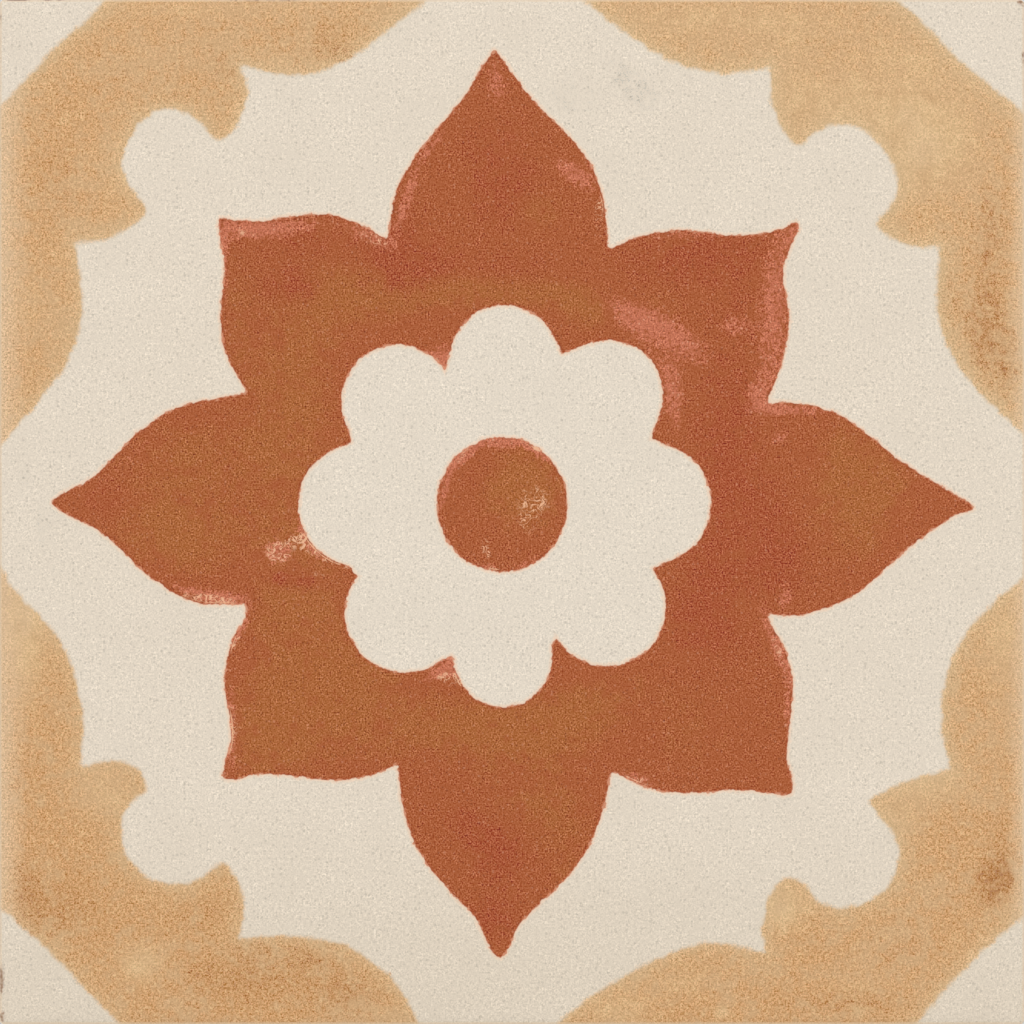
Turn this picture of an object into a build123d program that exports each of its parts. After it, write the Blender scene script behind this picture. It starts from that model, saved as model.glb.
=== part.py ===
from build123d import *
import os

# Floor tile of pressed ceramic, lying flat with its walking face up.
# One piece of fired clay: a square slab with cushioned face edges and a keyed back.
# The origin is at the middle of the back, on the level that the ribs stand on. Millimetres, +Z up.

# Slab
SIDE = 200.0             # walking face from edge to edge, a standard 20 by 20 cm module
THICKNESS = 9.0          # from the ribs' feet to the walking face
CORNER_RADIUS = 0.6      # the four upright corners, seen from above

# Cushioned edge, where the walking face rolls over to the side
CUSHION_WIDTH = 2.4      # how far in from the side the face begins to fall
CUSHION_DROP = 0.7       # how far it has fallen where it meets the side

# Foot of the side, set back so that the press die lets go and neighbours don't touch below
FOOT_HEIGHT = 3.0        # height over which the side leans in
FOOT_SETBACK = 0.5       # how far it leans in
FOOT_RADIUS = 0.7        # rounding where the side meets the back

# Keyed back: a net of ribs round shallow cells that the adhesive fills
RIM_WIDTH = 6.0          # plain border from the tile's edge to the first cells
RIB_WIDTH = 2.4          # width of a rib at its foot
CELL_WIDTH = 11.2        # a cell's mouth, before the cells are evened out over the back
KEY_DEPTH = 0.8          # depth of the cells
KEY_DRAFT = 30.0         # lean of the cells' walls, in degrees from upright


def slab_section():
    """The slab cut across the middle: cushioned edges above, leaning feet below."""
    edge = SIDE / 2
    shoulder = THICKNESS - CUSHION_DROP
    with BuildSketch(Plane.XZ) as section:
        with BuildLine():
            Polyline((0, 0), (edge - FOOT_SETBACK, 0), (edge, FOOT_HEIGHT), (edge, shoulder))
            EllipticalCenterArc((edge - CUSHION_WIDTH, shoulder), CUSHION_WIDTH, CUSHION_DROP, arc_size=90)
            Line((edge - CUSHION_WIDTH, THICKNESS), (0, THICKNESS))
            mirror(about=Plane.YZ)
        make_face()
        feet = section.vertices().filter_by(lambda v: v.Y < FOOT_HEIGHT / 2 and abs(v.X) > edge / 2)
        fillet(feet, FOOT_RADIUS)
    return section.sketch


def slab():
    """A block with rounded upright corners, trimmed to the section along Y and then along X.

    The two trims meet in a mitre at each corner of the cushioned edge.
    """
    block = extrude(RectangleRounded(SIDE, SIDE, CORNER_RADIUS), THICKNESS)
    along_y = extrude(slab_section(), SIDE, both=True)
    along_x = Rot(0, 0, 90) * along_y
    return block & along_y & along_x


def key_cells():
    """The cells of the keyed back: an even count each way, so that two ribs cross at the middle."""
    field = SIDE - 2 * RIM_WIDTH + RIB_WIDTH
    count = 2 * max(1, round(field / (CELL_WIDTH + RIB_WIDTH) / 2))
    pitch = field / count
    mouth = Rectangle(pitch - RIB_WIDTH, pitch - RIB_WIDTH)
    cell = extrude(mouth, KEY_DEPTH, taper=KEY_DRAFT)
    return GridLocations(pitch, pitch, count, count) * cell


def tile():
    return slab() - key_cells()


os.makedirs("parts", exist_ok=True)
export_step(tile(), "parts/tile.step")
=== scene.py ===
import math

import bpy
import numpy as np
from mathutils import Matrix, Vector


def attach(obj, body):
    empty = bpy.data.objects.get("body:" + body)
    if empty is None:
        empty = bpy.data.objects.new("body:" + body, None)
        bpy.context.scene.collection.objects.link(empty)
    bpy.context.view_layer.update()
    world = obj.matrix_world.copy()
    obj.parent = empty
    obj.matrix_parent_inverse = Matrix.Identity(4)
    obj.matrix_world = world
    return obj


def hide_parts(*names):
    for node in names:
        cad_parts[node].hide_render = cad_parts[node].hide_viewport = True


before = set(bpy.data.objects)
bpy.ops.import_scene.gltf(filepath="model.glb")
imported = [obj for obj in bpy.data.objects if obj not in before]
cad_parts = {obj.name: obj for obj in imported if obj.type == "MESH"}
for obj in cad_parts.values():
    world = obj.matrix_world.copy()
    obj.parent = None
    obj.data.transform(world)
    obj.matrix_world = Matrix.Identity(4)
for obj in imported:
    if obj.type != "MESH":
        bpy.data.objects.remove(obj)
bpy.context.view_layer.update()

# Patterned floor tile: one pressed and fired slab with a printed face, lying face up.
# Everything below is in millimetres; meshes are scaled to metres as they are made.
# Places on the face: x to the right, y away from the viewer, from the middle of the tile.
METRES = 0.001

# Slab, as the CAD has it
HALF_SIDE = 100.0
FACE_LEVEL = 9.0
CUSHION_WIDTH = 2.4
CUSHION_DROP = 0.7
SHOULDER = FACE_LEVEL - CUSHION_DROP
FOOT_HEIGHT = 3.0
FOOT_SETBACK = 0.5
FOOT_RADIUS = 0.7

# Keyed back, as the CAD has it
CELLS = 14
PITCH = 13.6
RIB_WIDTH = 2.4
KEY_DEPTH = 0.8
KEY_RUN = KEY_DEPTH * math.tan(math.radians(30))

# What the CAD leaves plain
CORNER_RADIUS = 0.8      # upright corners, rounder than the CAD's, so that the skin stays inside
CELL_CORNER = 0.7        # round corners of the cells
LIP = 0.1                # how far outside its mouth a cell's wall begins to sink
WALL_SOFTENING = 0.3     # how much wider the softened wall is than the straight one
MITRE_POWER = 6          # the higher, the sharper the cushion's mitres
UNEVENNESS = 0.012       # of the pressed face
SWELL_LENGTHS = (23.0, 31.0, 14.0)  # of its slow waves, over 2 pi: along x, along y and slanting
SLANT_SWELL = 0.6        # height of the slanting wave beside the straight one's 1

# Grid lines of the skin
CUSHION_STEPS = 9        # over the cushion's quarter ellipse
ARRIS = 0.15             # to each side of a rib's arris
CELL_FOOT = 0.45         # beyond the foot of a cell's wall
RIM_LINES = (97.0, 98.2)  # on the plain rim, between the last cells and the foot's rounding
FOOT_EDGE = 0.3          # just inside the foot's rounding
FOOT_TURNS = 5           # round the foot
WALL_SHARE = 0.4         # how far down the leaning wall its one ring lies
SIDE_LEVELS = (SHOULDER - 1.2, 5.0, FOOT_HEIGHT)
SHARP_ANGLE = 32         # degrees between two faces from which their edge is drawn sharp

# Texture sheet: the face's chart, with the sides' strips to its right and the back's halves above it
SHEET_GAP = 0.005
FACE_SHARE = 0.80

# Outlines of the star's petals, each from its left notch round the tip to its right notch
STRAIGHT_PETALS = {
    "north": [
        (-24.4, 52.9), (-22.7, 62.5), (-19.3, 68.8), (-9.6, 80.9), (-4.6, 88.7), (-3.4, 90.1),
        (-2.2, 88.8), (3.8, 80.9), (14.9, 68.8), (18.1, 60.0), (18.7, 51.5),
    ],
    "east": [
        (50.0, 21.1), (55.0, 21.4), (63.7, 19.1), (76.2, 9.8), (86.7, 3.2), (90.1, 0.9), (85.5, -1.3),
        (77.7, -6.8), (66.8, -16.3), (60.0, -19.2), (55.5, -20.3), (50.7, -19.9),
    ],
    "south": [
        (19.3, -50.6), (17.8, -58.2), (13.7, -67.6), (8.3, -73.8), (1.6, -80.4), (-1.0, -85.8),
        (-2.4, -87.0), (-3.9, -85.9), (-7.0, -79.5), (-15.2, -70.7), (-19.1, -64.5), (-21.6, -56.0),
        (-22.2, -49.4),
    ],
    "west": [
        (-51.8, -18.0), (-60.3, -18.0), (-64.5, -16.6), (-70.3, -13.0), (-80.5, -3.9), (-87.9, 0.1),
        (-89.9, 1.8), (-87.9, 3.6), (-82.0, 6.7), (-72.7, 15.8), (-65.5, 20.4), (-55.9, 22.5),
        (-51.7, 23.2),
    ],
}
DIAGONAL_PETALS = {
    "north_east": [
        (19.1, 51.4), (25.0, 53.8), (32.0, 55.0), (44.9, 54.0), (52.7, 55.4), (54.5, 56.4), (55.9, 56.3),
        (55.9, 55.1), (53.1, 47.7), (54.1, 36.7), (52.0, 27.0), (49.9, 21.5),
    ],
    "south_east": [
        (49.9, -20.4), (53.6, -27.6), (54.9, -34.8), (53.7, -47.7), (54.9, -53.7), (54.3, -55.1),
        (52.0, -55.1), (43.6, -54.3), (35.0, -54.9), (27.5, -54.1), (19.4, -50.7),
    ],
    "south_west": [
        (-22.4, -49.4), (-28.6, -51.7), (-34.8, -52.4), (-48.4, -51.1), (-54.9, -52.3), (-56.4, -51.6),
        (-56.3, -49.8), (-54.9, -43.8), (-56.1, -32.8), (-54.4, -24.4), (-52.3, -21.0), (-51.7, -18.2),
    ],
    "north_west": [
        (-51.8, 23.4), (-55.7, 30.5), (-57.0, 38.5), (-56.1, 47.3), (-57.3, 56.1), (-57.0, 57.4),
        (-54.7, 57.1), (-49.2, 56.8), (-36.7, 58.2), (-28.5, 55.6), (-24.4, 53.2),
    ],
}

# Inner outlines of the ochre bands, from one side of the tile to the next. Strokes meet in a corner.
BAND_STROKES = {
    "north_west": [
        [(-14.8, 101.6), (-21.7, 96.0), (-31.6, 88.7), (-38.0, 85.9), (-44.0, 85.4), (-53.1, 87.2)],
        [
            (-53.1, 87.2), (-51.6, 81.4), (-54.9, 74.0), (-56.6, 72.7), (-58.4, 73.2), (-62.1, 77.1),
            (-66.4, 78.6), (-71.1, 77.3), (-76.0, 69.6), (-75.2, 64.7), (-71.4, 59.2), (-71.9, 57.8),
            (-78.9, 53.5), (-85.2, 52.7),
        ],
        [(-85.2, 52.7), (-83.9, 41.4), (-84.7, 34.8), (-87.5, 28.3), (-93.5, 20.4), (-100.8, 12.1)],
    ],
    "north_east": [
        [(12.3, 101.2), (21.7, 93.9), (30.5, 88.4), (38.0, 85.9), (44.0, 85.7), (50.4, 86.9)],
        [
            (50.4, 86.9), (50.9, 79.5), (54.5, 72.3), (56.3, 71.7), (59.2, 74.2), (64.1, 75.7),
            (69.5, 73.9), (74.2, 68.0), (75.1, 62.3), (71.2, 56.2),
        ],
        [(71.2, 56.2), (73.2, 54.2), (77.7, 52.1), (83.4, 51.8)],
        [(83.4, 51.8), (83.0, 43.4), (83.2, 38.3), (85.8, 30.8), (92.3, 22.3), (101.3, 14.1)],
    ],
    "south_west": [
        [(-101.2, -8.6), (-97.2, -15.1), (-88.4, -24.8), (-85.4, -31.8), (-83.7, -41.0), (-84.5, -49.8)],
        [
            (-84.5, -49.8), (-77.5, -48.7), (-73.4, -50.0), (-71.4, -53.1), (-71.6, -54.3),
            (-75.6, -58.6), (-75.8, -65.6), (-71.9, -70.8), (-65.8, -72.7), (-61.2, -71.7),
            (-56.6, -68.5), (-54.9, -69.7), (-52.3, -75.8), (-53.3, -83.2),
        ],
        [(-53.3, -83.2), (-45.0, -82.8), (-36.1, -83.6), (-30.0, -85.9), (-22.4, -92.5), (-17.2, -102.3)],
    ],
    "south_east": [
        [(7.0, -101.6), (17.2, -93.5), (31.2, -86.1), (38.9, -84.1), (49.6, -86.2)],
        [
            (49.6, -86.2), (48.9, -80.8), (51.4, -73.2), (54.3, -71.3), (56.3, -72.1), (59.9, -76.0),
            (65.0, -77.3), (72.0, -74.3), (75.4, -69.0), (75.0, -64.0), (69.4, -56.3),
        ],
        [(69.4, -56.3), (72.8, -54.5), (79.4, -51.8), (85.5, -50.4)],
        [(85.5, -50.4), (83.8, -40.6), (84.8, -32.2), (88.9, -23.3), (94.8, -17.1), (101.6, -11.4)],
    ],
}

# Outer outlines of the ochre bands, against the cream corners
CORNER_LINES = {
    "north_west": [(-77.6, 101.6), (-83.2, 95.7), (-87.5, 92.1), (-92.1, 87.3), (-101.3, 77.6)],
    "north_east": [(72.6, 101.2), (78.3, 97.3), (87.6, 87.8), (101.6, 76.6)],
    "south_west": [(-101.5, -76.8), (-97.3, -79.3), (-87.7, -88.3), (-75.2, -101.3)],
    "south_east": [(77.3, -101.6), (85.0, -92.6), (93.0, -84.5), (101.3, -77.7)],
}

# Lobes of the rosette: the middle and radius of each round, and the points of the notches before and
# after it
STRAIGHT_LOBES = {
    "east": ((27.1, 1.7), 11.7, [(27.5, -10.9)], [(27.3, 14.1)]),
    "north": ((-1.5, 29.8), 10.5, [(9.7, 31.0)], [(-12.9, 28.1)]),
    "west": ((-29.8, 1.4), 11.8, [(-31.2, 13.6)], [(-31.2, -10.8), (-30.1, -12.6)]),
    "south": ((-1.7, -28.6), 9.4, [(-11.8, -27.9)], [(7.6, -26.2), (8.6, -24.6)]),
}
DIAGONAL_LOBES = {
    "north_east": ((18.7, 22.8), 10.65, [(27.1, 14.5)], [(10.4, 31.1)]),
    "north_west": ((-22.3, 21.7), 10.9, [(-13.4, 27.8)], [(-31.3, 14.3)]),
    "south_west": ((-20.8, -19.6), 11.7, [(-30.1, -12.8)], [(-12.5, -28.2)]),
    "south_east": ((18.5, -18.6), 11.4, [(8.7, -24.6)], [(27.6, -11.4)]),
}
PETAL_OVERRUN = 7.0      # how far a petal's outline runs on inwards past its notches
LOBE_OVERRUN = 3.0       # and a lobe's
STAR_CORE = 51.0         # radius of the round middle that joins the petals
ROSETTE_CORE = ((-2.0, 1.6), 26.5)
DISC_MIDDLE = (-1.93, 1.5)
DISC_RADIUS = 12.75
DISC_SQUASH = 0.965      # the disc is a little taller than wide
OUTSIDE = 130.0          # how far out the ochre's outlines are closed, beyond the tile
CURVE_STEPS = 7          # chords from one point of an outline to the next
LOBE_STEPS = 40          # points round a lobe
END_STEPS = 4            # chords at an outline's end that give the way it runs on

# Cloudiness, wear and stains of the print.
# Each is a middle, half length, half width, turn in degrees and strength.
OLIVE_CLOUDS = [
    ((-63, 8), 13, 10, 0, 0.7), ((-43, 22), 27, 9, 90, 0.9), ((-8, 43), 22, 4, 0, 0.9),
    ((14, 40), 8, 4, -20, 0.7), ((5, 58), 5, 5, 0, 0.7), ((68, 5), 11, 13, 0, 1.0),
    ((-36, -36), 20, 14, 10, 0.9), ((-5, -42), 14, 6, 0, 0.9), ((14, -38), 13, 6, 20, 0.8),
    ((5, -56), 12, 11, 0, 0.7), ((40, -42), 13, 10, 0, 0.4), ((4.5, 4), 6, 8, 0, 0.9),
    ((-2, 4), 9, 7, 0, 0.5), ((-30, 42), 10, 8, 0, 0.7), ((-44, -14), 7, 12, 0, 0.6),
    ((-48, -44), 8, 8, 0, 0.6), ((-66, -5), 12, 7, 0, 0.9), ((-54, 36), 3, 12, 0, 0.5),
    ((30, 40), 5, 5, 0, 0.3), ((12, -72), 4, 5, 0, 0.5), ((-36, -16), 4, 12, 0, 0.4),
]
RED_CLOUDS = [
    ((42, 6), 30, 9, 88, 1.0), ((37, 50), 15, 7, 0, 0.9), ((-2, 66), 12, 7, 90, 0.9),
    ((-21, 50), 9, 8, 0, 0.9), ((-43, 44), 7, 5, 0, 0.8), ((-41, 53), 14, 4, 0, 0.6),
    ((-42, -13), 8, 2.5, -5, 1.0), ((-4, -66), 5, 5, 0, 0.8), ((-5, -80), 6, 4, 0, 0.8),
    ((-10, -60), 4, 6, 40, 0.5), ((52, -8), 10, 6, 90, 0.7), ((-80, 2), 6, 4, 0, 0.7),
    ((-8, 6), 3, 3, 0, 0.6), ((36, -22), 10, 6, 60, 0.7), ((26, 22), 4, 8, 0, 0.4),
    ((0, -68), 14, 6, 90, 0.5), ((0, 47), 14, 4, 0, 0.4),
]
SALMON_WEAR = [
    ((-20.6, 61.0), 7.5, 1.1, 72, 0.95), ((-15.6, 71.2), 4.5, 0.9, 54, 0.7),
    ((12.5, 65.8), 4.6, 1.9, -34, 1.0), ((15.6, 67.4), 9.0, 0.5, -56, 0.45),
    ((55.0, 54.6), 3.0, 1.5, 60, 0.8), ((51.6, 46), 8.0, 2.4, 84, 0.45), ((-3, 84), 5, 2.0, 90, 0.7),
    ((50.8, 34), 15, 3.2, 88, 0.75), ((25.4, 37.4), 6.8, 2.4, -26, 1.15),
    ((33.0, 33.4), 7.0, 2.8, -38, 0.8), ((28.0, 30.0), 9.0, 3.0, -50, 0.35),
    ((43.6, 36.5), 2.6, 2.2, 0, 0.8), ((31.3, 22.3), 7.5, 1.8, 94, 0.75),
    ((47.9, 22.5), 2.2, 3.0, 0, 0.8), ((55.0, 19.9), 6.5, 0.9, -3, 1.0),
    ((52.3, 14.6), 2.2, 0.9, 12, 0.6), ((53.1, -16.8), 1.4, 2.0, 0, 0.9),
    ((51.6, -26), 8.0, 1.3, -68, 0.95), ((53.8, -38), 6.0, 0.9, 90, 0.7),
    ((24.5, -52.0), 4.5, 0.9, -14, 0.8), ((-55.0, -42.6), 10, 1.2, 90, 0.8),
    ((-53.2, -23.0), 3.6, 0.9, 64, 1.0), ((-13.6, 29.4), 3.2, 3.0, 0, 1.2),
    ((-61.4, -15.8), 5.5, 1.1, -16, 0.9), ((-55.6, -17.0), 5.0, 1.5, -3, 1.1),
    ((-39.4, -5.4), 4.2, 1.4, -60, 1.3), ((-45.6, -7.8), 2.7, 2.3, 0, 1.1),
    ((-52.5, 55.4), 7.5, 1.8, -4, 1.15), ((-56.6, 52.5), 1.4, 3.5, 0, 0.6),
    ((-43.5, 55.8), 7, 1.5, 6, 0.8), ((-27.3, 53.6), 6, 1.6, -24, 0.75), ((-56.0, 47), 6, 0.9, 90, 0.6),
    ((-9.4, 11.4), 4.6, 1.3, 42, 1.6), ((-1.9, 14.0), 5.0, 1.2, 0, 1.9),
    ((5.4, 12.0), 3.6, 1.1, -36, 1.5), ((-13.0, 4.5), 4.0, 0.8, 76, 0.9), ((3.0, -9.8), 3, 0.9, 20, 0.6),
    ((-13.0, -4.0), 3.0, 0.6, -74, 0.5), ((-11.2, -29.6), 3.0, 2.2, 20, 1.6),
    ((-14.6, -31.6), 3.0, 1.0, 24, 0.9), ((34.5, 54.0), 14, 1.0, 0, 0.5), ((-56.2, 29), 9, 0.7, 90, 0.4),
    ((-75, 10), 10, 0.8, 42, 0.4), ((-5.0, -11.0), 3, 1.2, -10, 0.7),
]
FLAKED_WEAR = [
    ((-45.6, -7.8), 2.6, 2.2, 0, 1.0), ((-39.8, -6.4), 2.4, 1.8, -40, 0.8),
    ((-36.0, -9.2), 2.6, 0.6, -24, 0.8), ((-42.4, -5.2), 1.8, 1.0, 20, 0.7),
    ((-37.4, -3.0), 2.4, 0.6, -62, 0.7), ((-59.0, -16.9), 6.0, 0.9, -8, 0.9),
    ((-27.0, 53.2), 4.0, 1.3, -26, 0.65), ((4.4, 2.2), 4.2, 3.4, -10, 0.66),
    ((3.0, -2.6), 2.6, 2.6, 0, 0.5), ((-11.4, -32.6), 3.4, 1.1, -16, 1.1),
    ((-5.0, -7.2), 0.9, 2.4, 12, 0.8), ((-3.4, -11.2), 1.8, 0.9, 20, 0.8),
    ((-9.6, 11.0), 4.0, 0.8, 44, 0.5), ((-52.6, 54.4), 5.0, 1.0, 0, 0.5),
    ((-1.9, 13.6), 5.0, 0.6, 0, 0.5), ((5.5, 12.6), 3.2, 0.9, -28, 0.9),
    ((-54.9, -42.6), 8.0, 0.8, 90, 0.6), ((51.9, -27), 6.5, 0.8, -70, 0.6),
    ((24.5, -52.3), 4.0, 0.7, -14, 0.7), ((17.0, 58.4), 3.6, 0.9, 86, 0.95),
    ((-54.0, -25.6), 3.0, 0.6, 68, 0.7), ((-57.6, 36.6), 1.0, 1.2, 0, 0.8),
    ((-53.6, -42.0), 2, 3, 0, 0.4), ((-31.0, 9.3), 3.5, 0.8, 60, 0.7), ((46.5, 31), 1.0, 1.0, 0, 0.5),
    ((-31.5, -11), 3, 0.8, -20, 0.4), ((-37.5, -12.0), 2.2, 1.4, 0, 0.45), ((78, 7.6), 5, 0.6, -38, 0.5),
    ((60, -19), 4, 0.6, -10, 0.4),
]
BURNT_OCHRE = [
    ((92.6, 35.5), 11, 5.0, 96, 1.15), ((93.5, 55), 10, 3.5, 90, 0.9),
    ((94.6, -71.8), 3.9, 6.0, -25, 1.85), ((84, 43), 3, 6, 0, 0.65), ((97.5, 28), 3, 7, 0, 0.6),
    ((-95, -74), 3.5, 8, 0, 0.7), ((-65, 81), 5, 3, 0, 0.4), ((-88, -78), 9, 8, 0, 0.85),
    ((-53, -91), 17, 7, 0, 0.85), ((-57, 91), 13, 5, 0, 0.4), ((-50, -85), 5, 3, 0, 0.4),
    ((66, -96), 19, 3.0, 0, 0.7), ((-75, 86), 9, 5, 10, 0.5), ((-88, 63), 6, 9, 0, 0.6),
    ((-56, 86), 4, 3, 0, 0.7), ((-96, -52), 3, 6, 0, 0.5), ((-33, 88.5), 5, 2.5, -20, 0.7),
    ((76, -86), 8, 4, 20, 0.6), ((95, -60), 3, 6, 0, 0.5), ((-24, 92), 6, 3, -20, 0.4),
    ((60, 91), 6, 4, 0, 0.5), ((33, -98), 7, 2.5, 0, 0.35), ((-60, -78), 10, 4, 20, 0.6),
    ((-31, -95), 8, 5, 0, 0.9), ((-41, 88), 5, 2.5, 0, 0.5), ((-65, -99), 5, 3, 0, 0.5),
    ((-38, -87), 6, 3, -20, 0.6), ((-36, 93), 6, 5, 0, 0.5), ((40, -89), 4, 2.5, 0, 0.3),
]
PALE_OCHRE = [
    ((76, 88), 10, 5, -20, 0.5), ((57, 91), 7, 5, 0, 0.4), ((76, 78), 5, 5, 0, 0.9),
    ((83, 73), 8, 9, 0, 1.0), ((56, 80), 5, 7, 60, 0.8), ((-72, -88), 5, 4, 0, 1.0),
    ((-76, 66), 5, 8, 30, 0.25), ((78, 68), 7, 6, 0, 0.8), ((40, 96), 20, 3.5, 0, 0.7),
    ((-58, 98), 26, 2.0, 0, 0.4), ((41.0, -97.3), 1.6, 1.6, 0, 0.9), ((67.4, -97.3), 1.6, 1.6, 0, 0.9),
    ((-27.1, -97.3), 1.6, 1.6, 0, 0.9), ((33, -92), 9, 3, 10, 0.45), ((-94, 40), 4, 8, 0, 0.4),
    ((-72, 88), 4, 4, 0, 0.5), ((-95, -28), 4, 10, 0, 0.9), ((-80, -55), 6, 5, 0, 0.8),
    ((75, -60), 5, 4, 0, 0.8), ((81, -53), 8, 4, 0, 0.8), ((52.5, -77), 4, 4, 0, 1.4),
    ((21, -98), 6, 3, 0, 0.7), ((66, 81), 6, 5, 0, 0.8), ((69, 72), 4, 5, 0, 0.6),
    ((-96, -20), 4, 5, 0, 1.4), ((68, -92), 6, 4, 0, 0.4), ((96, -26), 4, 9, 0, 0.8),
]
GREY_SMUDGES = [
    ((25.2, 81.8), 3.4, 2.4, -40, 1.3), ((20.8, 86.0), 3.6, 2.0, -40, 0.7),
    ((-91.2, -1.6), 1.6, 5, 0, 0.7), ((-95.1, 7.2), 1.4, 3, 0, 0.6), ((12, 81), 7, 5, 0, 0.5),
    ((60, -46), 5, 8, 0, 0.25), ((-10, -20), 6, 8, 0, 0.25), ((8, 20), 8, 8, 0, 0.25),
]
EDGE_MARKS = [
    ((-97, 99.95), 3.5, 0.25, 0, 1.0), ((-89.5, 99.95), 3.0, 0.25, 0, 0.9),
    ((-48, 99.8), 14.0, 0.4, 0, 0.5), ((99.4, 99.4), 1.3, 0.8, 0, 1.0), ((-99.6, -91), 3.4, 0.7, 90, 0.9),
    ((99.7, 89), 1.5, 0.6, 90, 0.8), ((-99.5, -98.5), 1.6, 0.9, 60, 0.8),
    ((-99.8, 97), 2.4, 0.4, 90, 0.5), ((10, -99.8), 4, 0.5, 0, 0.3),
]

# What the lights' sheen adds to every colour, in linear light
SHEEN = 0.013


def paint(red, green, blue):
    """A colour given as it shows on screen, 0 to 255, as the shader wants it, less the sheen.

    The screen's curve is undone: ((c + 0.055) / 1.055)^2.4, and c / 12.92 where it is darkest.
    """
    shown = np.array([red, green, blue]) / 255.0
    linear = np.where(shown <= 0.04045, shown / 12.92, ((shown + 0.055) / 1.055) ** 2.4) - SHEEN
    return (*linear.tolist(), 1.0)


def brighter(colour, shown):
    """The colour that shows so many steps of 255 lighter, or darker where the steps are below nothing."""
    lit = np.array(colour[:3]) + SHEEN
    steps = np.where(lit <= 0.0031308, lit * 12.92, 1.055 * lit ** (1 / 2.4) - 0.055) * 255
    return paint(*(steps + shown).tolist())


CREAM = paint(229, 216, 198)
CREAM_ROSETTE = paint(230, 218, 201)
# painted shade of the cream towards the bottom of the tile
CREAM_PAINTED_SHADE = paint(223, 209, 189)
CREAM_SPECK = paint(176, 163, 146)
CREAM_STAIN = paint(174, 166, 152)
HALO = paint(242, 208, 178)
TERRACOTTA = paint(173, 95, 57)
TERRACOTTA_OLIVE = paint(174, 104, 58)
TERRACOTTA_RED = paint(170, 87, 54)
TERRACOTTA_DARK = paint(120, 55, 32)
SALMON = paint(199, 117, 88)
PALE_SALMON = paint(222, 160, 130)
FLAKE = paint(240, 188, 150)
FRINGE = paint(216, 152, 120)
OCHRE = paint(213, 173, 129)
OCHRE_ORANGE = paint(205, 154, 103)
OCHRE_BURNT = paint(190, 136, 86)
OCHRE_SCORCHED = paint(158, 98, 58)
OCHRE_DARK = paint(174, 124, 78)
OCHRE_PALE = paint(219, 184, 138)
OCHRE_RIM = paint(216, 184, 142)
OCHRE_PALER = paint(223, 191, 154)
OCHRE_STROKE = paint(234, 202, 152)
# pale of the highlight painted along the outermost rim
RIM_HIGHLIGHT = paint(242, 214, 180)
EDGE_BROWN = paint(143, 98, 65)
CLAY = paint(208, 194, 172)
CLAY_DARK = paint(176, 160, 138)
KILN_WASH = paint(232, 228, 218)
FLOOR_PALE = paint(226, 224, 220)
FLOOR_GREY = paint(220, 218, 214)

# Depths and heights of the finish, in millimetres
PETAL_BLEND = 1.8        # how softly neighbouring petals run together
LOBE_BLEND = 0.5         # and neighbouring lobes
STAR_EDGE = (-0.10, 0.12)  # depths between which the terracotta sets in
OCHRE_EDGE = (-0.62, 0.50)  # and the ochre, which is softer
OCHRE_RIM_WIDTH = 2.3    # over which the ochre's pale rim fades to a third
WEST_FADE = (7.0, -0.5)  # the ochre pales from this far off the tile's left side to its edge
EAST_FADE = (3.8, -0.4)  # and from its right side
FLAKED_LINE = 0.45       # depth of the line inside the star's edge that flakes off first
PRINT_OVERLAP = 0.45     # how far below the shoulder the print reaches
WASH_DEPTH = 0.16        # how high up from the back's level the kiln wash reaches
RELIEF = 0.00003         # height of the fine bump, in metres
MATT = 0.58              # roughness of the print


# Shapes


def smooth_curve(points):
    """Centripetal Catmull-Rom curve through given points.

    Knots lie the square root of the chord apart, and each span is the three-step blend of its four points.
    """
    p = np.array(points, float)
    p = np.vstack([2 * p[0] - p[1], p, 2 * p[-1] - p[-2]])
    gaps = np.sqrt(np.linalg.norm(np.diff(p, axis=0), axis=1))
    knots = np.concatenate([[0.0], np.cumsum(gaps)])
    k0, k1, k2, k3 = (knots[i:len(knots) - 3 + i, None, None] for i in range(4))
    p0, p1, p2, p3 = (p[i:len(p) - 3 + i, None, :] for i in range(4))
    t = k1 + (k2 - k1) * (np.arange(CURVE_STEPS) / CURVE_STEPS)[None, :, None]
    a1 = (k1 - t) / (k1 - k0) * p0 + (t - k0) / (k1 - k0) * p1
    a2 = (k2 - t) / (k2 - k1) * p1 + (t - k1) / (k2 - k1) * p2
    a3 = (k3 - t) / (k3 - k2) * p2 + (t - k2) / (k3 - k2) * p3
    b1 = (k2 - t) / (k2 - k0) * a1 + (t - k0) / (k2 - k0) * a2
    b2 = (k3 - t) / (k3 - k1) * a2 + (t - k1) / (k3 - k1) * a3
    curve = ((k2 - t) / (k2 - k1) * b1 + (t - k1) / (k2 - k1) * b2).reshape(-1, 2)
    return np.vstack([curve, p[-2]])


def depth_inside(x, y, outline):
    """Signed distance to a closed outline, positive inside.

    The distance is the least one to any side. A place is inside where a ray to its right crosses an odd
    count of sides.
    """
    least = np.full(x.shape, np.inf)
    inside = np.zeros(x.shape, bool)
    for (ax, ay), (bx, by) in zip(outline, np.roll(outline, -1, axis=0)):
        ex, ey = bx - ax, by - ay
        square = ex * ex + ey * ey
        if square == 0:
            continue
        wx, wy = x - ax, y - ay
        along = np.clip((wx * ex + wy * ey) / square, 0, 1)
        least = np.minimum(least, (wx - along * ex) ** 2 + (wy - along * ey) ** 2)
        if ey:
            inside ^= ((ay <= y) != (by <= y)) & (wx < ex * wy / ey)
    return np.sqrt(least) * np.where(inside, 1.0, -1.0)


def petal_outline(points):
    """A petal's outline: the smooth curve round its tip, closed through the middle of the tile."""
    return closed_inward(smooth_curve(points), PETAL_OVERRUN)


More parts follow.
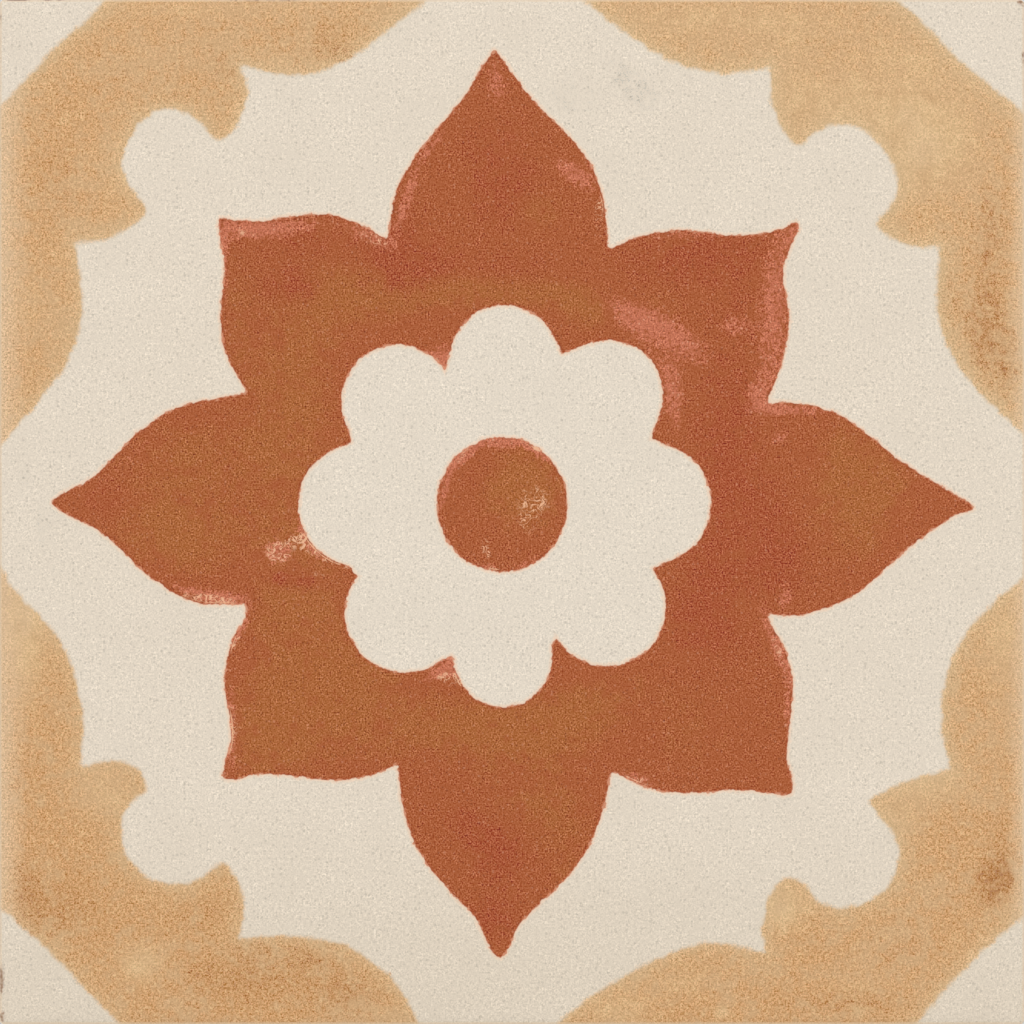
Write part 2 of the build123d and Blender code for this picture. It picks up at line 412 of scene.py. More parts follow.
def lobe_outline(middle, radius, before, after):
    """A lobe's outline: the notch before it, a string laid round its circle, and the notch after it.

    The string leaves each notch at a tangent, the angle acos(radius / distance) away from the line to the
    middle.
    """
    ends = np.array([before[-1], after[0]]) - middle
    lean = np.arccos(np.minimum(radius / np.linalg.norm(ends, axis=1), 1))
    turn = np.arctan2(ends[:, 1], ends[:, 0]) + lean * [1, -1]
    turns = np.linspace(turn[0], turn[0] + (turn[1] - turn[0]) % (2 * np.pi), LOBE_STEPS)
    arc = middle + radius * np.stack([np.cos(turns), np.sin(turns)], axis=1)
    return closed_inward(np.vstack([before, arc, after]), LOBE_OVERRUN)


def closed_inward(curve, overrun):
    """An outline closed through the middle of the tile.

    Both ends run on past their notch, straight along their last few steps, so that neighbours cross there.
    """
    start = curve[0] + overrun * unit(curve[0] - curve[END_STEPS])
    end = curve[-1] + overrun * unit(curve[-1] - curve[-1 - END_STEPS])
    return np.vstack([start, curve, end, [0.0, 0.0]])


def unit(v):
    return v / np.linalg.norm(v)


def deepest(x, y, outlines):
    """How deep each place lies inside the nearest of some outlines."""
    return np.max([depth_inside(x, y, outline) for outline in outlines], axis=0)


def corner_outline(strokes):
    """A line that cuts a corner off, closed round that corner well outside the tile."""
    line = np.vstack([smooth_curve(stroke) for stroke in strokes])
    ends = line[[-1, 0]]
    last, first = np.where(np.abs(ends) > HALF_SIDE - 1, np.sign(ends) * OUTSIDE, ends)
    middle = np.sign(line[0] + line[-1]) * OUTSIDE
    return np.vstack([line, last, middle, first])


def soft_spots(x, y, spots):
    """Sum of soft ellipses: strength times exp(-(u/length)^2 - (v/width)^2).

    u and v are the places along each one's own axes.
    """
    total = np.zeros(x.shape)
    for (cx, cy), length, width, turn, strength in spots:
        c, s = math.cos(math.radians(turn)), math.sin(math.radians(turn))
        u = (x - cx) * c + (y - cy) * s
        v = (y - cy) * c - (x - cx) * s
        total += strength * np.exp(-(u / length) ** 2 - (v / width) ** 2)
    return total


def printed_fields(x, y):
    """What the finish reads at each place of the skin: depths inside outlines, and sums of spots."""
    return {
        "straight_petals": deepest(x, y, [petal_outline(points) for points in STRAIGHT_PETALS.values()]),
        "diagonal_petals": deepest(x, y, [petal_outline(points) for points in DIAGONAL_PETALS.values()]),
        "straight_lobes": deepest(x, y, [lobe_outline(*lobe) for lobe in STRAIGHT_LOBES.values()]),
        "diagonal_lobes": deepest(x, y, [lobe_outline(*lobe) for lobe in DIAGONAL_LOBES.values()]),
        "ochre_reach": deepest(x, y, [corner_outline(strokes) for strokes in BAND_STROKES.values()]),
        "corner_reach": deepest(x, y, [corner_outline([line]) for line in CORNER_LINES.values()]),
        "olive_clouds": soft_spots(x, y, OLIVE_CLOUDS),
        "red_clouds": soft_spots(x, y, RED_CLOUDS),
        "salmon_wear": soft_spots(x, y, SALMON_WEAR),
        "flaked_wear": soft_spots(x, y, FLAKED_WEAR),
        "burnt_ochre": soft_spots(x, y, BURNT_OCHRE),
        "pale_ochre": soft_spots(x, y, PALE_OCHRE),
        "grey_smudges": soft_spots(x, y, GREY_SMUDGES),
        "edge_marks": soft_spots(x, y, EDGE_MARKS),
    }


def rounded(x, y, half, radius):
    """A square grid drawn in so that its outline has round corners.

    In the square of side radius at each corner, (a, b) goes to (a sqrt(1 - b^2/2), b sqrt(1 - a^2/2)).
    """
    a = np.clip((np.abs(x) - half) / radius + 1, 0, 1)
    b = np.clip((np.abs(y) - half) / radius + 1, 0, 1)
    core_x = np.minimum(np.abs(x), half - radius)
    core_y = np.minimum(np.abs(y), half - radius)
    return (np.sign(x) * (core_x + radius * a * np.sqrt(1 - b * b / 2)),
            np.sign(y) * (core_y + radius * b * np.sqrt(1 - a * a / 2)))


def back_lines():
    """Grid lines of the back: nine at each rib (crown, arrises, feet), and four on each side's rim."""
    half_rib = RIB_WIDTH / 2
    wall_end = half_rib + KEY_RUN
    steps = np.array([0, half_rib - ARRIS, half_rib + ARRIS, wall_end, wall_end + CELL_FOOT])
    steps = np.concatenate([-steps[:0:-1], steps])
    ribs = (np.arange(CELLS + 1) - CELLS / 2) * PITCH
    lines = np.unique(np.round((ribs[:, None] + steps).ravel(), 4))
    field = CELLS / 2 * PITCH
    lines = lines[np.abs(lines) <= field + 1e-6]
    foot = foot_profile()[-1][0]
    rim = np.array([*RIM_LINES, foot - FOOT_EDGE, foot])
    return np.concatenate([-rim[::-1], lines, rim])


def face_lines(count):
    """Grid lines of the face: equal turns of the cushion's quarter ellipse, then even steps inwards."""
    turns = np.radians(np.linspace(90, 0, CUSHION_STEPS + 1))
    cushion = HALF_SIDE - CUSHION_WIDTH * (1 - np.sin(turns))
    flat = np.linspace(HALF_SIDE - CUSHION_WIDTH, 0, count // 2 - CUSHION_STEPS + 1)[1:]
    half = np.concatenate([cushion, flat])
    return np.concatenate([-half, half[-2::-1]])


def foot_profile():
    """The foot of the side as (distance from the middle, height): leaning wall, then the foot's rounding.

    The rounding's circle touches wall and back at FOOT_RADIUS / tan(half the angle between them) from their
    corner.
    """
    lean = math.atan2(FOOT_HEIGHT, FOOT_SETBACK)
    tangent = FOOT_RADIUS / math.tan((math.pi - lean) / 2)
    middle = HALF_SIDE - FOOT_SETBACK - tangent
    turns = np.linspace(lean - math.pi / 2, -math.pi / 2, FOOT_TURNS)
    return [(HALF_SIDE - FOOT_SETBACK * WALL_SHARE, FOOT_HEIGHT * (1 - WALL_SHARE)),
            *((middle + FOOT_RADIUS * math.cos(t), FOOT_RADIUS * (1 + math.sin(t))) for t in turns)]


def face_height(x, y):
    """Height of the face: the flat, less the cushion's quarter ellipse and a slow unevenness.

    With u and v the shares of the cushion passed towards each side, t = (u^6 + v^6)^(1/6) softens the
    mitre, and the cushion stands at sqrt(1 - t^2) of its drop above the shoulder. The unevenness is the
    product of two waves, plus a third that slants across them, and only sinks the face.
    """
    u = np.clip(1 - (HALF_SIDE - np.abs(x)) / CUSHION_WIDTH, 0, 1)
    v = np.clip(1 - (HALF_SIDE - np.abs(y)) / CUSHION_WIDTH, 0, 1)
    t = np.minimum((u ** MITRE_POWER + v ** MITRE_POWER) ** (1 / MITRE_POWER), 1)
    across, along, slant = SWELL_LENGTHS
    swell = np.sin(x / across + 0.6) * np.cos(y / along - 0.4)
    swell = swell + SLANT_SWELL * np.sin((x + 0.7 * y) / slant + 1.1)
    return SHOULDER + CUSHION_DROP * np.sqrt(1 - t * t) - UNEVENNESS * (1 + SLANT_SWELL - swell) * (1 - t)


def back_height(x, y):
    """Height of the back: cells sunk between the ribs, with round corners, leaning walls and soft arrises.

    Each cell is the distance to a square with round corners, and s^2 (3 - 2 s) of it the softened wall.
    """
    field = CELLS / 2 * PITCH
    inside = (np.abs(x) < field) & (np.abs(y) < field)
    u = np.abs((x + field) % PITCH - PITCH / 2) - (PITCH - RIB_WIDTH) / 2 + CELL_CORNER
    v = np.abs((y + field) % PITCH - PITCH / 2) - (PITCH - RIB_WIDTH) / 2 + CELL_CORNER
    outside = np.hypot(np.clip(u, 0, None), np.clip(v, 0, None)) + np.minimum(np.maximum(u, v), 0)
    share = np.clip((CELL_CORNER - outside + LIP) / (KEY_RUN + WALL_SOFTENING), 0, 1)
    return np.where(inside, KEY_DEPTH * share * share * (3 - 2 * share), 0.0)


def ring(lines):
    """Once round a square grid's outline, anticlockwise seen from the face: places along x and y."""
    first, last = np.full(len(lines) - 1, lines[0]), np.full(len(lines) - 1, lines[-1])
    up, down = lines[:-1], lines[:0:-1]
    return np.concatenate([up, last, down, first]), np.concatenate([first, up, last, down])


def ring_of_grid(index):
    """The same round for a grid of vertex numbers."""
    return np.concatenate([index[0, :-1], index[:-1, -1], index[-1, :0:-1], index[:0:-1, 0]])


def quads(index, u, v):
    """The four-sided faces of a grid of vertices, and their places on the texture sheet."""
    def corners(grid):
        around = [grid[:-1, :-1], grid[:-1, 1:], grid[1:, 1:], grid[1:, :-1]]
        return np.stack(around, axis=-1).reshape(-1, 4)
    return corners(index), np.stack([corners(u), corners(v)], axis=-1)


def tile_mesh():
    """The whole slab as one closed skin: face grid, rings down the side, and the grid of the keyed back.

    The face has twice as many grid lines as the back. A row of triangles on the upright side takes two
    steps of the face's outline to one of the back's.
    """
    coarse = back_lines()
    n = len(coarse) - 1
    fine = face_lines(2 * n)
    m = 2 * n

    gx, gy = np.meshgrid(fine, fine)
    fx, fy = rounded(gx, gy, HALF_SIDE, CORNER_RADIUS)
    places = [np.stack([fx.ravel(), fy.ravel(), face_height(gx, gy).ravel()], axis=1)]
    face_index = np.arange((m + 1) ** 2).reshape(m + 1, m + 1)
    made = face_index.size

    rx, ry = ring(coarse / coarse[-1])
    profile = [*((HALF_SIDE, level) for level in SIDE_LEVELS), *foot_profile()[:-1]]
    rings = []
    for reach, height in profile:
        x, y = rounded(rx * reach, ry * reach, reach, CORNER_RADIUS)
        places.append(np.stack([x, y, np.full(x.shape, height)], axis=1))
        rings.append(made + np.arange(4 * n))
        made += 4 * n

    bx, by = np.meshgrid(coarse, coarse)
    cx, cy = rounded(bx, by, coarse[-1], CORNER_RADIUS)
    places.append(np.stack([cx.ravel(), cy.ravel(), back_height(bx, by).ravel()], axis=1))
    back_index = made + np.arange((n + 1) ** 2).reshape(n + 1, n + 1)
    rings.append(ring_of_grid(back_index))
    profile.append(foot_profile()[-1])

    # Face: the sheet follows the length of the skin over the cushion
    run = np.concatenate([[0], np.cumsum(np.hypot(np.diff(fine), np.diff(face_height(fine, 0 * fine))))])
    run = SHEET_GAP + FACE_SHARE * run / run[-1]
    faces, uv = quads(face_index, *np.meshgrid(run, run))
    four, four_uv = [faces], [uv]

    # Sides: four strips to the right of the face
    strip = (1 - FACE_SHARE - 3 * SHEET_GAP) / 4
    levels = np.array([(HALF_SIDE, SHOULDER), *profile])
    down = np.concatenate([[0], np.cumsum(np.hypot(*np.diff(levels, axis=0).T))])
    down = down / down[-1] * (strip - SHEET_GAP)
    three, three_uv = [], []
    upper = ring_of_grid(face_index)
    fine_run = np.append(ring(fine)[0][:m], HALF_SIDE) / (2 * HALF_SIDE) + 0.5
    coarse_run = np.append(ring(coarse / coarse[-1])[0][:n], 1) / 2 + 0.5
    for side in range(4):
        left = FACE_SHARE + 2 * SHEET_GAP + side * strip
        k = (side * n + np.arange(n + 1)) % (4 * n)
        lower = np.stack([r[k] for r in rings[::-1]])
        u, v = np.meshgrid(left + down[:0:-1], SHEET_GAP + FACE_SHARE * coarse_run, indexing="ij")
        faces, uv = quads(lower, u, v)
        four.append(faces)
        four_uv.append(uv)
        top = upper[(side * m + np.arange(m + 1)) % (4 * m)]
        low = rings[0][k]
        tops = np.stack([np.full(m + 1, left), SHEET_GAP + FACE_SHARE * fine_run], axis=1)
        lows = np.stack([np.full(n + 1, left + down[1]), SHEET_GAP + FACE_SHARE * coarse_run], axis=1)
        a, b, c = np.arange(0, m, 2), np.arange(1, m, 2), np.arange(2, m + 1, 2)
        i, j = np.arange(n), np.arange(1, n + 1)
        three += [np.stack([low[i], top[b], top[a]], 1), np.stack([low[i], low[j], top[b]], 1),
                  np.stack([low[j], top[c], top[b]], 1)]
        three_uv += [np.stack([lows[i], tops[b], tops[a]], 1), np.stack([lows[i], lows[j], tops[b]], 1),
                     np.stack([lows[j], tops[c], tops[b]], 1)]

    # Back: its two halves side by side above the face, seen from below
    size = 1 - FACE_SHARE - 3 * SHEET_GAP
    half = n // 2
    for part, columns in enumerate((slice(0, half + 1), slice(half, n + 1))):
        xs = coarse[columns]
        across = (xs - xs[0]) / (2 * coarse[-1]) * 2 * size
        along = (coarse + coarse[-1]) / (2 * coarse[-1]) * 2 * size
        v, u = np.meshgrid(FACE_SHARE + 2 * SHEET_GAP + across, SHEET_GAP + along)
        u = u + part * (2 * size + SHEET_GAP)
        faces, uv = quads(back_index[:, columns], u, v)
        four.append(faces[:, ::-1])
        four_uv.append(uv[:, ::-1])

    sheet = np.concatenate([np.concatenate(uv).reshape(-1, 2) for uv in (four_uv, three_uv)])
    return skin("tile_skin", np.concatenate(places), np.concatenate(four), np.concatenate(three), sheet)


def skin(name, places, four, three, sheet):
    """A mesh of four-sided and then three-sided faces, with its texture sheet and what the finish reads."""
    loops = np.concatenate([four.ravel(), three.ravel()])
    starts = np.concatenate([np.arange(len(four)) * 4, four.size + np.arange(len(three)) * 3])
    mesh = bpy.data.meshes.new(name)
    mesh.vertices.add(len(places))
    mesh.vertices.foreach_set("co", (places * METRES).ravel())
    mesh.loops.add(len(loops))
    mesh.loops.foreach_set("vertex_index", loops)
    mesh.polygons.add(len(starts))
    mesh.polygons.foreach_set("loop_start", starts)
    mesh.update(calc_edges=True)
    mesh.uv_layers.new(name="OFBake").data.foreach_set("uv", sheet.ravel())
    mesh.polygons.foreach_set("use_smooth", np.ones(len(starts), bool))
    mesh.set_sharp_from_angle(angle=math.radians(SHARP_ANGLE))
    for field, values in printed_fields(places[:, 0], places[:, 1]).items():
        mesh.attributes.new(field, "FLOAT", "POINT").data.foreach_set("value", values)
    return mesh


# Finishes


class Wire:
    """A node's output. Sums and products of wires and numbers add the Math nodes that work them out."""

    def __init__(self, finish, socket):
        self.finish, self.socket = finish, socket

    def math(self, operation, *others, first=None):
        values = dict(enumerate((self if first is None else first, *others)))
        return self.finish.node("ShaderNodeMath", {"operation": operation}, values)

    def __add__(self, other):
        return self.math("ADD", other)

    def __sub__(self, other):
        return self.math("SUBTRACT", other)

    def __rsub__(self, other):
        return self.math("SUBTRACT", self, first=other)

    def __mul__(self, other):
        return self.math("MULTIPLY", other)

    __radd__, __rmul__ = __add__, __mul__

    def least(self, other):
        return self.math("MINIMUM", other)

    def most(self, other):
        return self.math("MAXIMUM", other)

    def blend_most(self, other, width):
        """The greater of two, with their crease rounded over a width."""
        return self.math("SMOOTH_MAX", other, width)

    def size(self):
        return self.math("ABSOLUTE")

    def fade(self, length):
        """1 at nothing, falling away evenly: exp(-x / length)."""
        return (self * (-1 / length)).math("EXPONENT")

    def rise(self, low, high):
        """0 below low, 1 above high, a smooth step between. With low above high it falls instead."""
        return self.finish.node("ShaderNodeMapRange", {"interpolation_type": "SMOOTHSTEP"},
                                {"Value": self, "From Min": low, "From Max": high})


class Finish:
    """A material while it is being built. Places are object coordinates in millimetres."""

    # How far one seed moves the noises and the scattered points along x, y and z
    NOISE_STRIDE = (37.1, -23.7, 11.3)
    CELL_STRIDE = (17.3, 29.9, 7.7)

    def __init__(self, name):
        self.material = bpy.data.materials.new(name)
        self.material.use_nodes = True
        self.nodes = self.material.node_tree.nodes
        self.links = self.material.node_tree.links
        self.nodes.clear()
        self.place = self.scaled(self.node("ShaderNodeTexCoord", {}, {}, "Object"), 1 / METRES)

    def node(self, kind, settings, sockets, output=0):
        """Adds one node: its settings first, then each socket's value or the wire that feeds it."""
        made = self.nodes.new(kind)
        for name, value in settings.items():
            setattr(made, name, value)
        for name, value in sockets.items():
            if isinstance(value, Wire):
                self.links.new(value.socket, made.inputs[name])
            else:
                made.inputs[name].default_value = value
        return Wire(self, made.outputs[output]) if made.outputs else None

    def moved(self, seed, stride):
        """The place moved by a seed's strides, so that one seed's pattern doesn't repeat another's."""
        shift = tuple(seed * step for step in stride)
        return self.node("ShaderNodeVectorMath", {"operation": "ADD"}, {0: self.place, 1: shift})

    def away(self, middle, stretch=(1.0, 1.0)):
        """How far each place is from a middle, seen from above, with the axes stretched first."""
        kind = "ShaderNodeVectorMath"
        flat = self.node(kind, {"operation": "MULTIPLY"}, {0: self.place, 1: (*stretch, 0)})
        middle = (middle[0] * stretch[0], middle[1] * stretch[1], 0)
        return self.node(kind, {"operation": "DISTANCE"}, {0: flat, 1: middle}, "Value")

    def field(self, name):
        """What the mesh holds at each place under a name."""
        return self.node("ShaderNodeAttribute", {"attribute_name": name}, {}, "Fac")

    def noise(self, grain, detail=1.0, roughness=0.5, seed=0.0, flat=True, warp=0.0):
        """Cloudy noise about zero, most of it within -1 to 1. Grain is its size in millimetres."""
        kind = {"noise_dimensions": "2D" if flat else "3D"}
        sockets = {"Vector": self.moved(seed, self.NOISE_STRIDE), "Scale": 1 / grain, "Detail": detail,
                   "Roughness": roughness, "Distortion": warp}
        return (self.node("ShaderNodeTexNoise", kind, sockets, "Fac") - 0.5) * 2.0

    def specks(self, pitch, radius, share, seed):
        """Round specks, 1 in their middles, on a share of points scattered one pitch apart.

        Each has its own size, up to the radius.
        """
        sockets = {"Vector": self.moved(seed, self.CELL_STRIDE), "Scale": 1 / pitch}
        near = self.node("ShaderNodeTexVoronoi", {"voronoi_dimensions": "2D"}, sockets, "Distance")
        own = self.node("ShaderNodeSeparateColor", {}, {0: Wire(self, near.socket.node.outputs["Color"])})
        size = (own - (1 - share)) * (radius / share)
        return (size - near * pitch).rise(-0.04, 0.06)

    def mix(self, under, over, amount):
        """One colour laid over another by an amount. Sockets 6 and 7 and output 2 are the colours."""
        return self.node("ShaderNodeMix", {"data_type": "RGBA"}, {0: amount, 6: under, 7: over}, 2)

    def dust(self, colour, base, steps):
        """Grain over a colour: each noise lightens or darkens it by so many shown steps around base."""
        for noise, shown in steps:
            lift = np.array(brighter(base, shown)) - np.array(base)
            colour = self.node("ShaderNodeVectorMath", {"operation": "MULTIPLY_ADD"},
                               {0: noise, 1: lift[:3].tolist(), 2: colour})
        return colour

    def scaled(self, vector, factor):
        """A place or a colour times a factor."""
        return self.node("ShaderNodeVectorMath", {"operation": "SCALE"}, {0: vector, "Scale": factor})

    def surface(self, sockets):
        """Closes the material with one Principled shader and returns it."""
        shader = self.node("ShaderNodeBsdfPrincipled", {}, sockets, "BSDF")
        self.node("ShaderNodeOutputMaterial", {}, {"Surface": shader})
        return self.material


# In the layers below, a rise says between which values a layer sets in, and the number that it is
# multiplied by how much the layer covers at most.


def stirred_grains(f):
    """The print's five noises from fine to coarse, and its patchiness.

    The coarser noises stir the finer, so that grain comes in patches.
    """
    grain = f.noise(0.30, 0.0, seed=1)
    middling = f.noise(0.62, 0.0, seed=2)
    crumble = f.noise(1.2, 1.0, 0.6, seed=5)
    mottle = f.noise(2.8, 2.0, 0.6, seed=3)
    cloud = f.noise(11.0, 2.0, 0.55, seed=4)
    patchy = crumble * 0.7 + mottle * 0.5
    stir = (patchy * 1.3 + cloud * 0.4 + 1.0).most(0.3)
    coarse_stir = (mottle * 1.1 + cloud * 0.5 + 1.0).most(0.3)
    return (grain * stir, middling * stir, crumble * coarse_stir, mottle, cloud), patchy


def cream_ground(f, y, grains, rosette, edge):
    """The cream ground: painted shade below, lighter in the rosette, with specks, smudges and the star's
    halo.
    """
    grain, middling, crumble, mottle, cloud = grains
    smudge = f.field("grey_smudges") * (0.6 + mottle * 0.9 + crumble * 0.5)
    cream = f.mix(CREAM, CREAM_ROSETTE, rosette.rise(0.0, 1.0))
    # painted shade: the cream darker towards the bottom of the tile
    cream = f.mix(cream, CREAM_PAINTED_SHADE, (0.0 - y).rise(50.0, 100.0) * 0.8)
    stain = (smudge * 0.4 + grain * 1.2 + middling * 0.6).rise(0.3, 1.0) * smudge.rise(0.05, 0.5)
    cream = f.mix(cream, CREAM_STAIN, stain * 0.8)
    cream = f.dust(cream, CREAM, [(grain, 15.5), (middling, 8.5), (crumble, 2.5), (cloud, 3.0)])
    cream = f.mix(cream, CREAM_SPECK, f.specks(0.75, 0.28, 0.24, 1) * (smudge.rise(0.0, 0.7) * 0.3 + 0.36))
    return f.mix(cream, HALO, edge.rise(-0.70, -0.10) * 0.6)


def ochre_bands(f, x, y, grains, ochre):
    """The ochre of the corner bands: pale along its outlines and the tile's sides, burnt in places."""
    grain, middling, crumble, mottle, cloud = grains
    from_west, from_east = x + HALF_SIDE, HALF_SIDE - x
    paler = (from_west + mottle).rise(*WEST_FADE).most((from_east + mottle).rise(*EAST_FADE))
    pale = f.field("pale_ochre")
    warm = mottle + cloud + crumble * 0.3 - pale * 0.5 - x * 0.001 - y * 0.0018 + 0.44
    ink = f.mix(OCHRE, OCHRE_ORANGE, warm.rise(-0.2, 1.1))
    ink = f.mix(ink, OCHRE_PALE, (pale * 0.9 + cloud * 0.8 + mottle * 0.9).rise(0.0, 1.5))
    burnt = f.field("burnt_ochre")
    burn = (burnt * (0.75 + mottle * 0.7 + crumble * 0.5) + cloud * 0.25 + mottle * 0.15).rise(0.15, 1.2)
    ink = f.mix(ink, OCHRE_BURNT, burn * 0.75)
    rim = (ochre + mottle * 0.5 + crumble * 0.4).most(0.0).fade(OCHRE_RIM_WIDTH)
    ink = f.mix(ink, OCHRE_RIM, rim * (0.8 + x * 0.0012 + y * 0.0015))
    paler = paler.most((pale - 1.0).rise(0.0, 0.8) * 0.6)
    ink = f.mix(ink, OCHRE_PALER, paler * (0.85 - burn * 0.5))
    calm = 1.0 - pale.least(1.0) * 0.35 + burn * 0.3
    fine = [(grain * calm, 29.0), (middling * calm, 13.0), (crumble * calm, 5.0)]
    ink = f.dust(ink, OCHRE, [*fine, (mottle, 8.0), (cloud, 5.0)])
    ink = f.mix(ink, OCHRE_DARK, f.specks(1.1, 0.22, 0.36, 6) * (0.25 + burn * 0.5))
    scorch = (burnt * (0.7 + crumble * 1.1) + grain * 1.2 + middling * 1.1).rise(1.35, 2.15)
    ink = f.mix(ink, OCHRE_SCORCHED, scorch * 0.75)
    strokes = f.noise(1.0, 1.0, 0.6, seed=8, warp=0.5).size().rise(0.09, 0.02) * middling.rise(0.0, 0.3)
    ink = f.mix(ink, OCHRE_STROKE, strokes * 0.5)
    return f.mix(ink, OCHRE_STROKE, f.specks(1.3, 0.20, 0.45, 5) * 0.65)


def terracotta_print(f, grains, patchy, star, edge):
    """The terracotta of star and disc: clouded, worn to salmon, flaked, with a pale fringe and a dark line.

    It flakes off along a noise's zero lines and along one line inside the star's edge.
    """
    grain, middling, crumble, mottle, cloud = grains
    fringe = (edge - (patchy.rise(-0.1, 0.6) * 0.55 + 0.10)).rise(0.10, -0.14)
    dark_line = edge.rise(0.02, 0.12) * edge.rise(0.50, 0.25) * patchy.rise(0.0, -0.5)
    slow = cloud * 0.5 + mottle * 0.16
    uneven = 1.0 + mottle * 0.8
    ink = f.mix(TERRACOTTA, TERRACOTTA_OLIVE, (f.field("olive_clouds") * uneven + slow).rise(0.15, 1.0))
    ink = f.mix(ink, TERRACOTTA_RED, (f.field("red_clouds") * uneven + slow).rise(0.15, 1.1))
    ink = f.mix(ink, TERRACOTTA_RED, (star + crumble * 0.4).rise(0.9, 0.1) * 0.6)
    wear = f.field("salmon_wear") * (1.0 + crumble * 0.9 + middling * 0.8 + mottle * 0.5 + grain * 0.3)
    worn = wear.rise(0.15, 0.95)
    ink = f.mix(ink, SALMON, worn * 0.95)
    ink = f.dust(ink, TERRACOTTA, [(grain, 35.0), (middling, 6.5), (crumble, 4.0), (mottle, 3.0)])
    ink = f.mix(ink, TERRACOTTA_DARK, f.specks(0.8, 0.22, 0.32, 3) * 0.5)
    ink = f.mix(ink, PALE_SALMON, f.specks(0.95, 0.22, 0.3, 4) * (worn * 0.5 + 0.35))
    net = f.noise(1.35, 1.0, 0.6, seed=7, warp=0.8)
    scales = net.size().rise(0.13, 0.03).most((star - FLAKED_LINE).size().rise(0.14, 0.05))
    flake = f.field("flaked_wear") * (scales * 0.9 + crumble * 0.4 + 0.05)
    ink = f.mix(ink, TERRACOTTA_DARK, dark_line * 0.45)
    ink = f.mix(ink, FRINGE, fringe * 0.8)
    return f.mix(ink, FLAKE, flake.rise(0.25, 0.55) * 0.85)


def bare_clay(f, z, soft, grit):
    """The clay of the sides and back, with kiln wash on the ribs and rim that it stood on in the kiln."""
    clay = f.mix(CLAY, CLAY_DARK, (soft * 0.9 + 0.1).rise(-0.3, 1.0))
    clay = f.scaled(clay, 1.0 + grit * 0.10)
    wash = (WASH_DEPTH - z + soft * 0.12 + grit * 0.16).rise(0.0, 0.12)
    return f.mix(clay, KILN_WASH, wash * 0.65)


def fired_clay():
    """The tile's finish: the matt print on the face and cushion, bare clay on the sides and back."""
    f = Finish("fired_clay")
    x, y, z = (f.node("ShaderNodeSeparateXYZ", {}, {0: f.place}, i) for i in range(3))
    grains, patchy = stirred_grains(f)
    grain, middling, crumble, mottle = grains[:4]

    # Where the inks lie, as depths inside their outlines in millimetres
    star = f.field("straight_petals").blend_most(f.field("diagonal_petals"), PETAL_BLEND)
    star = star.most(STAR_CORE - f.away((0, 0)))
    rosette = f.field("straight_lobes").blend_most(f.field("diagonal_lobes"), LOBE_BLEND)
    rosette = rosette.most(ROSETTE_CORE[1] - f.away(ROSETTE_CORE[0]))
    disc = DISC_RADIUS - f.away(DISC_MIDDLE, (1.0, DISC_SQUASH))
    star = star.least((0.0 - rosette).most(disc))
    ochre = f.field("ochre_reach").least(0.0 - f.field("corner_reach"))

    # The same with edges roughened by the grain
    wander = grain * 0.10 + middling * 0.11 + crumble * 0.14 + mottle * 0.50
    edge = star + wander
    in_star = edge.rise(*STAR_EDGE)
    in_ochre = (ochre + wander * 1.35 + 0.05).rise(*OCHRE_EDGE)

    colour = f.mix(cream_ground(f, y, grains, rosette, edge), ochre_bands(f, x, y, grains, ochre), in_ochre)
    colour = f.mix(colour, terracotta_print(f, grains, patchy, star, edge), in_star)

    # A highlight painted pale along the outermost rim, and the marks along the edge
    from_side = HALF_SIDE - x.size().most(y.size())
    colour = f.mix(colour, RIM_HIGHLIGHT, (from_side + middling * 0.1).rise(0.55, 0.25) * 0.5)
    marks = (f.field("edge_marks") * (0.8 + crumble * 0.9 + middling * 0.4)).rise(0.25, 0.8)
    colour = f.mix(colour, EDGE_BROWN, marks * 0.8)

    # The print stops a little below the shoulder, and bare clay begins
    soft = f.noise(6.0, 3.0, 0.6, seed=9, flat=False)
    grit = f.noise(0.5, 2.0, 0.7, seed=10, flat=False)
    printed = (z - SHOULDER + PRINT_OVERLAP + soft * 0.35 + grit * 0.2).rise(-0.05, 0.05)
    colour = f.mix(bare_clay(f, z, soft, grit), colour, printed)

    roughness = MATT + grain * 0.06 + mottle * 0.03 + marks * 0.1 + (1 - printed) * 0.24
    relief = f.noise(0.5, 2.0, 0.6, seed=12, flat=False)
    bump = f.node("ShaderNodeBump", {}, {"Height": relief, "Strength": 0.6, "Distance": RELIEF}, "Normal")
    return f.surface({"Base Color": colour, "Roughness": roughness, "Normal": bump,
                      "Specular IOR Level": 0.3})


def studio_floor():
    """A plain pale floor, faintly clouded."""
    f = Finish("studio_floor")
    cloud = f.noise(40.0, 2.0, seed=1)
    return f.surface({"Base Color": f.mix(FLOOR_PALE, FLOOR_GREY, (cloud + 0.5) * 0.5), "Roughness": 0.8})


# The object, the floor, the light and the camera


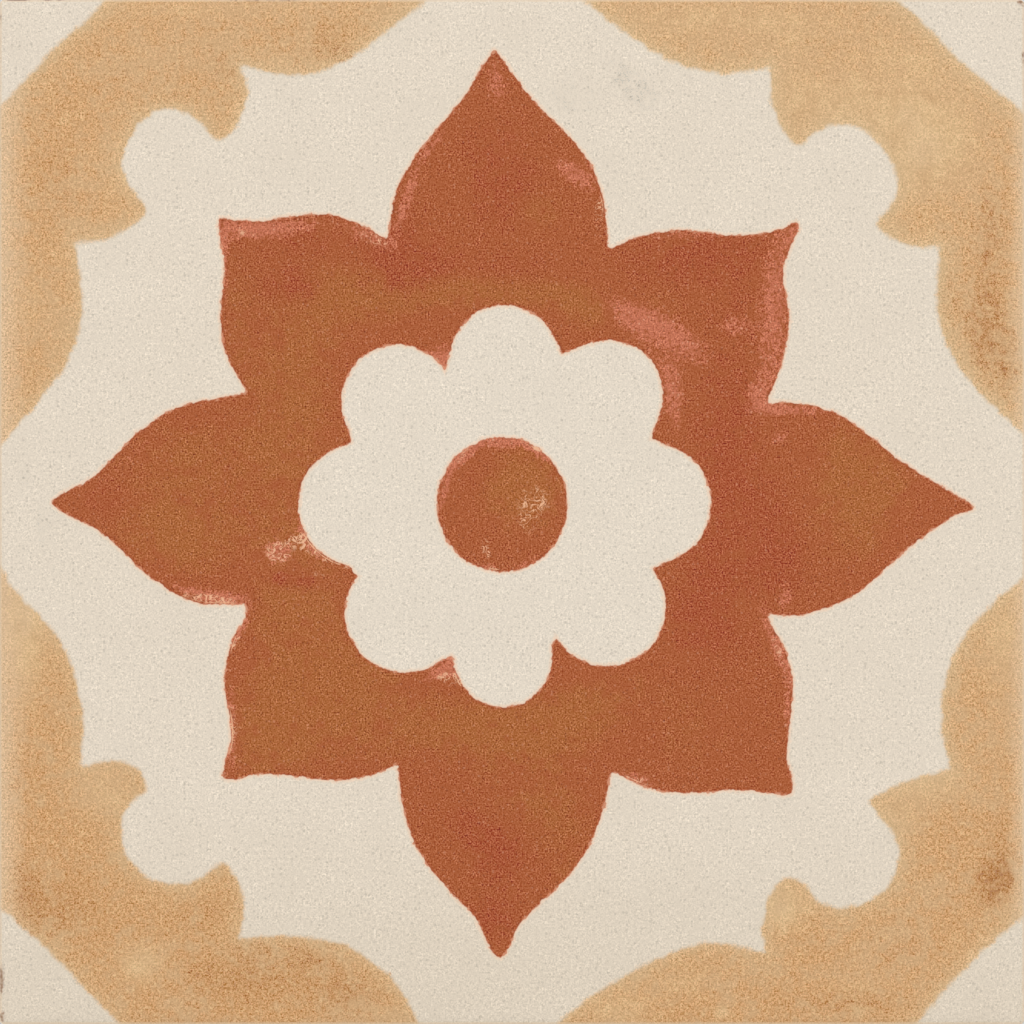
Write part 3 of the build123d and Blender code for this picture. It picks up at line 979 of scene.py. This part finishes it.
def add_object(name, data):
    """A new object of the scene with its mesh, light or camera."""
    made = bpy.data.objects.new(name, data)
    bpy.context.scene.collection.objects.link(made)
    return made


FLOOR_REACH = 3.0        # metres from the middle to each side
FLOOR_GAP = 0.00002      # metres between the floor and the tile's back
SOFTBOX_SIDE = 1.0       # metres
ROOM_LIGHT = 0.465       # strength of the even light from all round
LENS = 100.0             # focal length and sensor width, in millimetres
SENSOR = 36.0

tile = add_object("printed_tile", tile_mesh())
tile.data.materials.append(fired_clay())
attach(tile, "root")
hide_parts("tile")

floor_sheet = bpy.data.meshes.new("floor_sheet")
reaches = np.array([-FLOOR_REACH, FLOOR_REACH])
floor_corners = [(x, y, -FLOOR_GAP) for y in reaches for x in reaches]
floor_sheet.from_pydata(floor_corners, [], [(0, 1, 3, 2)])
floor = add_object("floor", floor_sheet)
floor.data.materials.append(studio_floor())

# Square soft lights that face the middle of the tile: place in metres, power in watts
SOFTBOXES = {
    "left_softbox": ((-1.3, 0.25, 1.25), 9.3),
    "right_softbox": ((1.3, 0.25, 1.25), 9.3),
    "far_softbox": ((0.0, 1.5, 1.1), 6.4),
    "near_softbox": ((0.0, -1.5, 1.1), 4.7),
}
for name, (place, power) in SOFTBOXES.items():
    data = bpy.data.lights.new(name, "AREA")
    data.shape = "SQUARE"
    data.size = SOFTBOX_SIDE
    data.energy = power
    light = add_object(name, data)
    light.location = place
    light.rotation_euler = (-Vector(place)).to_track_quat("-Z", "Y").to_euler()
    light.visible_camera = False

world = bpy.data.worlds.new("studio_room")
world.use_nodes = True
room = world.node_tree.nodes["Background"]
room.inputs["Color"].default_value = (1, 1, 1, 1)
room.inputs["Strength"].default_value = ROOM_LIGHT
bpy.context.scene.world = world
bpy.context.scene.view_settings.view_transform = "Standard"

camera_data = bpy.data.cameras.new("camera")
camera_data.lens = LENS
camera_data.sensor_width = SENSOR
camera = add_object("camera", camera_data)
camera.location = (0, 0, (HALF_SIDE * 2 * LENS / SENSOR + SHOULDER) * METRES)
bpy.context.scene.camera = camera
